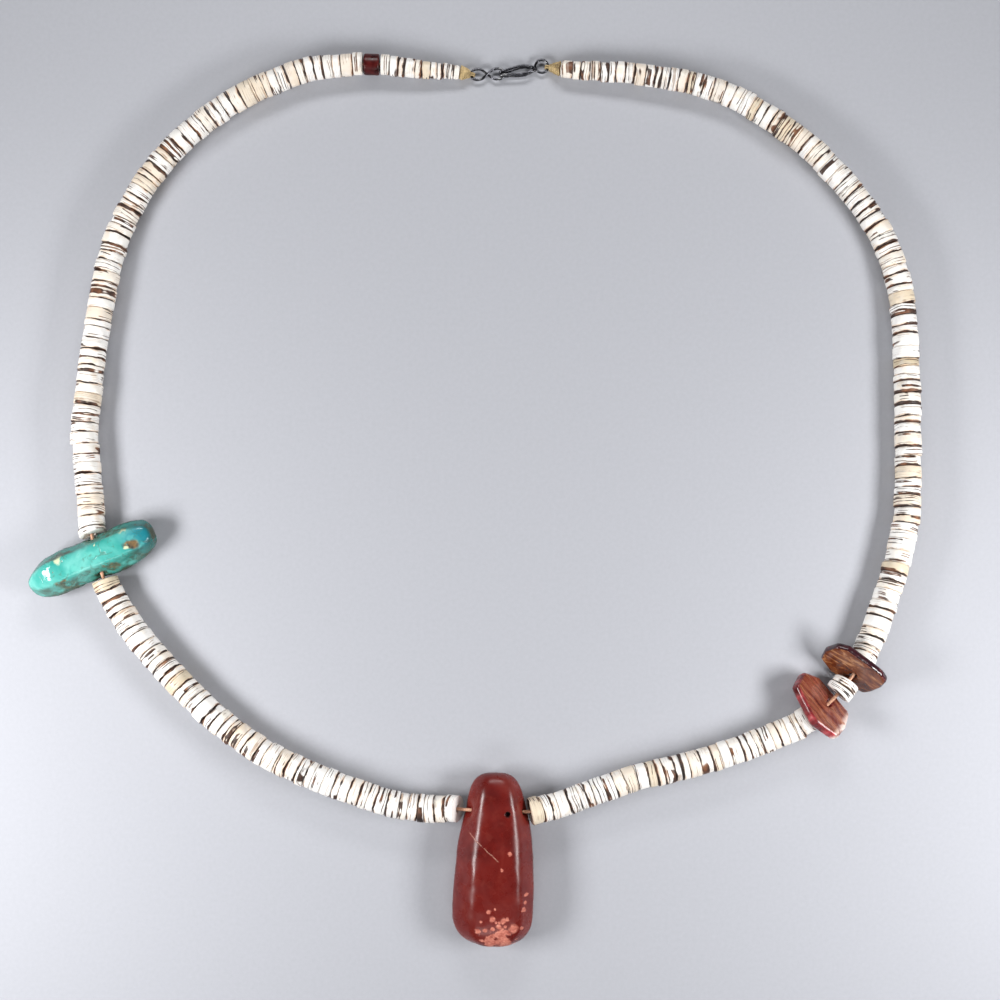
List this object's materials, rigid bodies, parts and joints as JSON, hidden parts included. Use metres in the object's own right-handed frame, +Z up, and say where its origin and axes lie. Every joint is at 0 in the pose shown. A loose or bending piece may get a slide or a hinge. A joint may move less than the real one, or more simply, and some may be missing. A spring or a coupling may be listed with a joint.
{
  "type": "heishi bead necklace",
  "caption": "Closed loop of banded shell discs with a drilled turquoise, two shell tabs, a red stone pendant and a wire hook-and-eye clasp, lying flat.",
  "frame": {"origin": "on the surface that the necklace lies on, under the middle of its bounding box", "axes": "+Z up from the surface, +Y towards the clasp, +X to the right seen from above"},
  "size_m": [0.2452, 0.2454, 0.0116],
  "materials": {
    "shell_disc": "polished",
    "dark_red_bead": "polished",
    "turquoise": "polished",
    "red_stone": "polished",
    "red_shell": "polished",
    "brown_shell": "polished",
    "dark_silver": "oxidised",
    "thread_binding": "matte",
    "string_thread": "matte"
  },
  "bodies": {
    "root": {"heishi_top_left": "shell_disc", "heishi_left": "shell_disc", "heishi_lower_left": "shell_disc", "heishi_lower_right": "shell_disc", "heishi_between_tabs": "shell_disc", "heishi_right": "shell_disc", "red_bead": "dark_red_bead", "turquoise_nugget": "turquoise", "pendant": "red_stone", "red_shell_tab": "red_shell", "brown_shell_tab": "brown_shell", "clasp_eye": "dark_silver", "clasp_hook": "dark_silver", "cord_wrap_left": "thread_binding", "cord_wrap_right": "thread_binding", "thread": "string_thread"}
  },
  "joints": []
}
